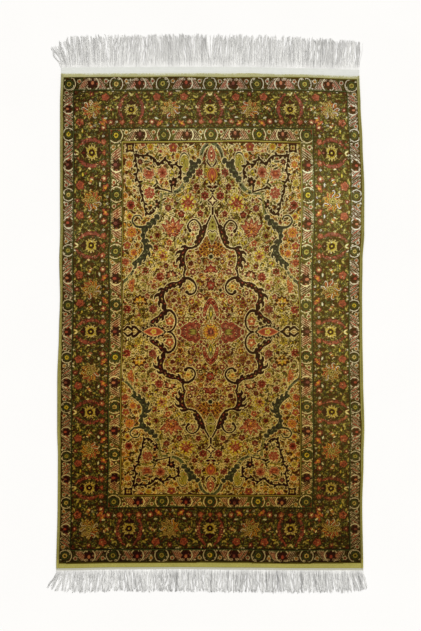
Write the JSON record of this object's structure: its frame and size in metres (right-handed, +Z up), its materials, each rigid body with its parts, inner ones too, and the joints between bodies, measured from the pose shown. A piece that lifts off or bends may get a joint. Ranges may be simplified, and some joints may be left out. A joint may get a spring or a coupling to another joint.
{
  "type": "hand-knotted silk rug",
  "caption": "Flat hand-knotted silk rug with a floral medallion field, a wide flowered border, overcast sides and a long silk fringe at each end.",
  "frame": {"origin": "middle of the knotted body's underside, on the floor plane", "axes": "+Y along the rug's length to the end with the longer fringe, +X to the right of someone who looks along +Y from above, +Z up out of the pile"},
  "size_m": [1.0023, 1.7635, 0.0034],
  "materials": {
    "silk_pile": "short silk pile with a soft sheen",
    "olive_silk": "overcast silk yarn with a soft sheen",
    "white_silk": "loose silk warp yarn with a soft sheen"
  },
  "bodies": {
    "root": {"knotted_body": "silk_pile", "selvedge_left": "olive_silk", "selvedge_right": "olive_silk", "fringe_far": "white_silk", "fringe_near": "white_silk"}
  },
  "joints": []
}
